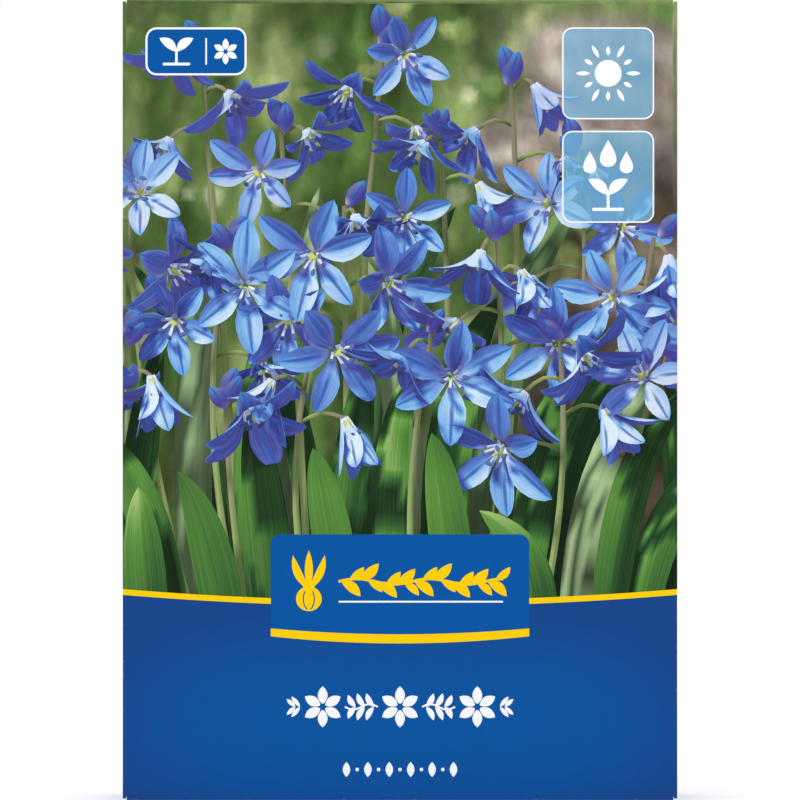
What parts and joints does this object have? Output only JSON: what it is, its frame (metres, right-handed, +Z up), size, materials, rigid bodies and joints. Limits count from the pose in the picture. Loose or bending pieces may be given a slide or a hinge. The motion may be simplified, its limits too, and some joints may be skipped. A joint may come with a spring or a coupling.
{
  "type": "flower bulb packet",
  "caption": "Flat folding carton with a printed front, glued shut at both ends, with squill bulbs lying loose inside it.",
  "frame": {"origin": "centre of the carton's footprint, on the surface that it stands on", "axes": "+Z up along the height; the printed front faces -Y; +X to the right as the front is seen"},
  "size_m": [0.14, 0.03, 0.202],
  "materials": {
    "printed_board": "satin",
    "bulb_coat": "matte"
  },
  "bodies": {
    "root": {"carton": "printed_board", "bulb_01": "bulb_coat", "bulb_02": "bulb_coat", "bulb_03": "bulb_coat", "bulb_04": "bulb_coat", "bulb_05": "bulb_coat", "bulb_06": "bulb_coat", "bulb_07": "bulb_coat", "bulb_08": "bulb_coat", "bulb_09": "bulb_coat", "bulb_10": "bulb_coat", "bulb_11": "bulb_coat", "bulb_12": "bulb_coat", "bulb_13": "bulb_coat", "bulb_14": "bulb_coat", "bulb_15": "bulb_coat", "bulb_16": "bulb_coat", "bulb_17": "bulb_coat", "bulb_18": "bulb_coat", "bulb_19": "bulb_coat", "bulb_20": "bulb_coat"}
  },
  "joints": []
}
